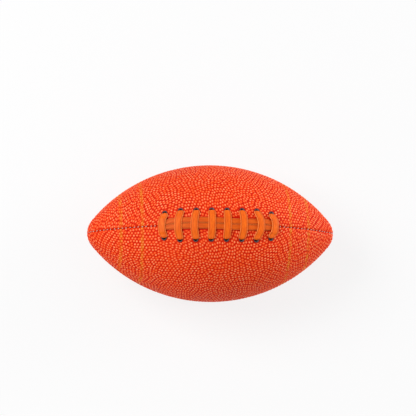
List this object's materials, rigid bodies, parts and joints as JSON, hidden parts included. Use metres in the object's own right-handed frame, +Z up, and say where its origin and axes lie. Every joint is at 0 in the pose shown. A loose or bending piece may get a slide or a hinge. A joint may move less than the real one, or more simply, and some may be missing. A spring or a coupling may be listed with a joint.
{
  "type": "american football",
  "caption": "Laced ball of pebbled orange-red leather: quarter panels over cloth linings and a rubber bladder with a valve, for throwing and kicking.",
  "frame": {"origin": "the point under the middle of the ball, on the surface that it lies on", "axes": "+X along the ball's long axis, +Z up through the lace, +Y to the side that holds the valve"},
  "size_m": [0.2658, 0.1466, 0.1499],
  "materials": {
    "cover": "pebbled, satin",
    "lining": "woven cotton",
    "facing": "coated cloth",
    "eyelet": "black lacquer",
    "lace": "smooth, fine lengthwise grain",
    "thread": "waxed thread",
    "guard": "matt",
    "bladder": "smooth moulded",
    "valve": "matt moulded"
  },
  "bodies": {
    "root": {"panel_top_back": "cover", "panel_bottom_back": "cover", "panel_bottom_front": "cover", "panel_top_front": "cover", "lining_top_back": "lining", "lining_bottom_back": "lining", "lining_bottom_front": "lining", "lining_top_front": "lining", "lace_facing_back": "facing", "lace_facing_front": "facing", "eyelet_back_1": "eyelet", "eyelet_back_2": "eyelet", "eyelet_back_3": "eyelet", "eyelet_back_4": "eyelet", "eyelet_back_5": "eyelet", "eyelet_back_6": "eyelet", "eyelet_back_7": "eyelet", "eyelet_back_8": "eyelet", "eyelet_front_1": "eyelet", "eyelet_front_2": "eyelet", "eyelet_front_3": "eyelet", "eyelet_front_4": "eyelet", "eyelet_front_5": "eyelet", "eyelet_front_6": "eyelet", "eyelet_front_7": "eyelet", "eyelet_front_8": "eyelet", "lace_crossing": "lace", "lace_strand_back": "lace", "lace_strand_front": "lace", "seam_thread_top_left": "thread", "seam_thread_top_right": "thread", "seam_thread_back": "thread", "seam_thread_bottom": "thread", "seam_thread_front": "thread", "bladder_guard": "guard", "bladder": "bladder", "valve_body": "valve", "valve_core": "valve"}
  },
  "joints": []
}
